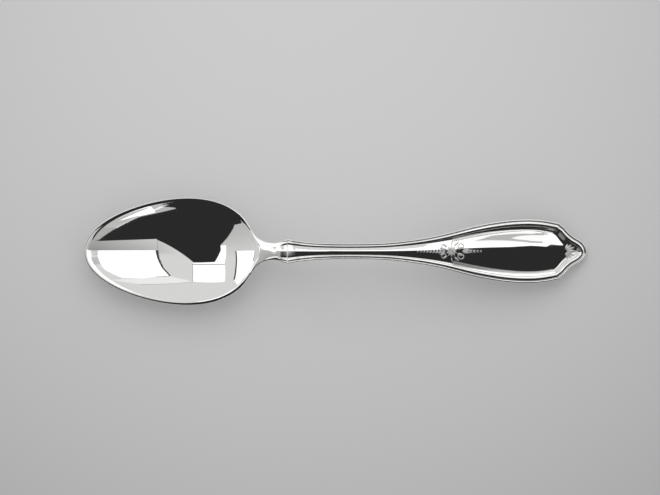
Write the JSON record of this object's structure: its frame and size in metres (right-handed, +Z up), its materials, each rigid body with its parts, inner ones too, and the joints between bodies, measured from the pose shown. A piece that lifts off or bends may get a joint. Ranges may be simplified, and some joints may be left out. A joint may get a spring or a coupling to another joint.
{
  "type": "teaspoon",
  "caption": "Polished metal teaspoon with an egg-shaped bowl, a slim stem and a broad handle with threaded edges, a flower spray, husk borders and a pointed end.",
  "frame": {"origin": "on the table, under the middle of the spoon's length and width", "axes": "+X along the spoon from the bowl's tip towards the handle's end, +Y across it towards the picture's upper edge, +Z up out of the open bowl"},
  "size_m": [0.15, 0.032, 0.0153],
  "materials": {
    "silver_body": "mirror-polished silver plate with fine use scratches",
    "silver_relief": "polished silver plate, darker in the hollows of the die-struck relief"
  },
  "bodies": {
    "root": {"bowl": "silver_body", "neck": "silver_body", "shoulder": "silver_body", "stem": "silver_body", "handle_panel": "silver_body", "terminal": "silver_body", "flower_spray": "silver_relief", "husk_row_left": "silver_relief", "husk_row_right": "silver_relief", "end_palmette": "silver_relief"}
  },
  "joints": []
}
